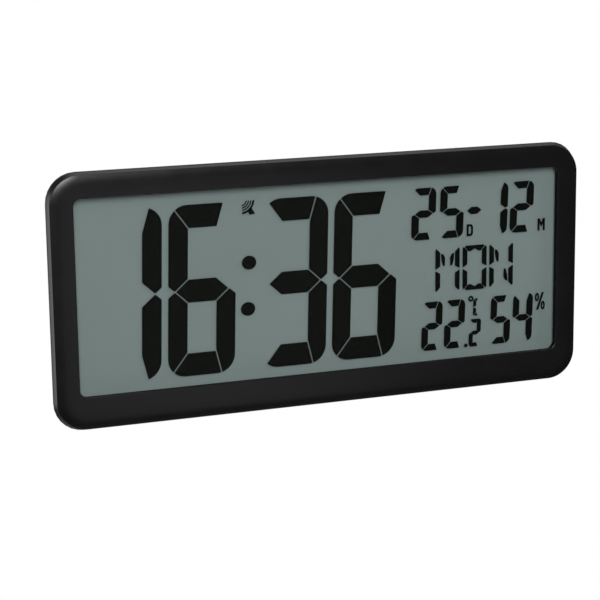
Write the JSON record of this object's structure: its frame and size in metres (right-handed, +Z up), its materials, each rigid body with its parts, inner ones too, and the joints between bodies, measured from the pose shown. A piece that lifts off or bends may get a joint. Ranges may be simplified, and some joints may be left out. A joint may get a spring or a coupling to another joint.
{
  "type": "radio-controlled wall clock",
  "caption": "Wide shallow wall clock with a large liquid crystal display in a rounded bezel, keyholes, battery bay, setting buttons and fold-out legs.",
  "frame": {"origin": "centre of the flat back face, which lies on the wall", "axes": "+X right along the width as seen from the front, +Y out of the back into the wall, +Z up; the display faces -Y"},
  "size_m": [0.368, 0.03, 0.165],
  "materials": {
    "bezel_plastic": "fine satin, very dark grey",
    "cover_plastic": "fine textured, very dark grey",
    "clear_lens": "clear acrylic",
    "display_glass": "clear",
    "reflector_film": "satin grey-green",
    "foam": "matt",
    "white_plastic": "matt",
    "zebra_rubber": "matt",
    "board": "green solder mask",
    "black_component": "moulded",
    "metal_can": "nickel plated",
    "contact_metal": "nickel plated",
    "cell_jacket": "printed sleeve",
    "button_grey": "satin",
    "ferrite": "matt sintered",
    "coil_wire": "enamelled wire"
  },
  "bodies": {
    "case": {"front_bezel": "bezel_plastic", "window_lens": "clear_lens", "window_gasket": "foam", "lcd_front_glass": "display_glass", "lcd_rear_glass": "display_glass", "lcd_reflector": "reflector_film", "lcd_holder": "white_plastic", "zebra_strip": "zebra_rubber", "main_board": "board", "driver_chip_1": "black_component", "driver_chip_2": "black_component", "crystal_can": "metal_can", "filter_capacitor": "black_component", "rear_cover": "cover_plastic", "battery_1": "cell_jacket", "battery_2": "cell_jacket", "contact_link": "contact_metal", "contact_positive": "contact_metal", "contact_negative": "contact_metal", "battery_spring_1": "contact_metal", "battery_spring_2": "contact_metal", "button_board": "board", "tact_switch_1": "black_component", "tact_switch_2": "black_component", "tact_switch_3": "black_component", "tact_switch_4": "black_component", "tact_switch_5": "black_component", "ferrite_rod": "ferrite", "antenna_coil": "coil_wire", "receiver_board": "board", "receiver_chip": "black_component", "sensor_board": "board", "climate_sensor": "black_component"},
    "battery_cover": {"battery_cover": "cover_plastic"},
    "leg_left": {"leg_left": "cover_plastic"},
    "leg_right": {"leg_right": "cover_plastic"},
    "button_1": {"button_1": "button_grey"},
    "button_2": {"button_2": "button_grey"},
    "button_3": {"button_3": "button_grey"},
    "button_4": {"button_4": "button_grey"},
    "button_5": {"button_5": "button_grey"}
  },
  "joints": [
    {"name": "battery_cover_lift", "type": "slide", "parent": "case", "child": "battery_cover", "axis": [0, 1, 0], "range_m": [0, 0.03]},
    {"name": "leg_left_hinge", "type": "hinge", "parent": "case", "child": "leg_left", "pos_m": [-0.12, -0.0028, -0.028], "axis": [1, 0, 0], "range_deg": [0, 35]},
    {"name": "leg_right_hinge", "type": "hinge", "parent": "case", "child": "leg_right", "pos_m": [0.12, -0.0028, -0.028], "axis": [1, 0, 0], "range_deg": [0, 35]},
    {"name": "button_1_press", "type": "slide", "parent": "case", "child": "button_1", "axis": [0, -1, 0], "range_m": [0, 0.0005], "stiffness_N_per_m": 400, "springref_m": -0.001},
    {"name": "button_2_press", "type": "slide", "parent": "case", "child": "button_2", "axis": [0, -1, 0], "range_m": [0, 0.0005], "stiffness_N_per_m": 400, "springref_m": -0.001},
    {"name": "button_3_press", "type": "slide", "parent": "case", "child": "button_3", "axis": [0, -1, 0], "range_m": [0, 0.0005], "stiffness_N_per_m": 400, "springref_m": -0.001},
    {"name": "button_4_press", "type": "slide", "parent": "case", "child": "button_4", "axis": [0, -1, 0], "range_m": [0, 0.0005], "stiffness_N_per_m": 400, "springref_m": -0.001},
    {"name": "button_5_press", "type": "slide", "parent": "case", "child": "button_5", "axis": [0, -1, 0], "range_m": [0, 0.0005], "stiffness_N_per_m": 400, "springref_m": -0.001}
  ]
}
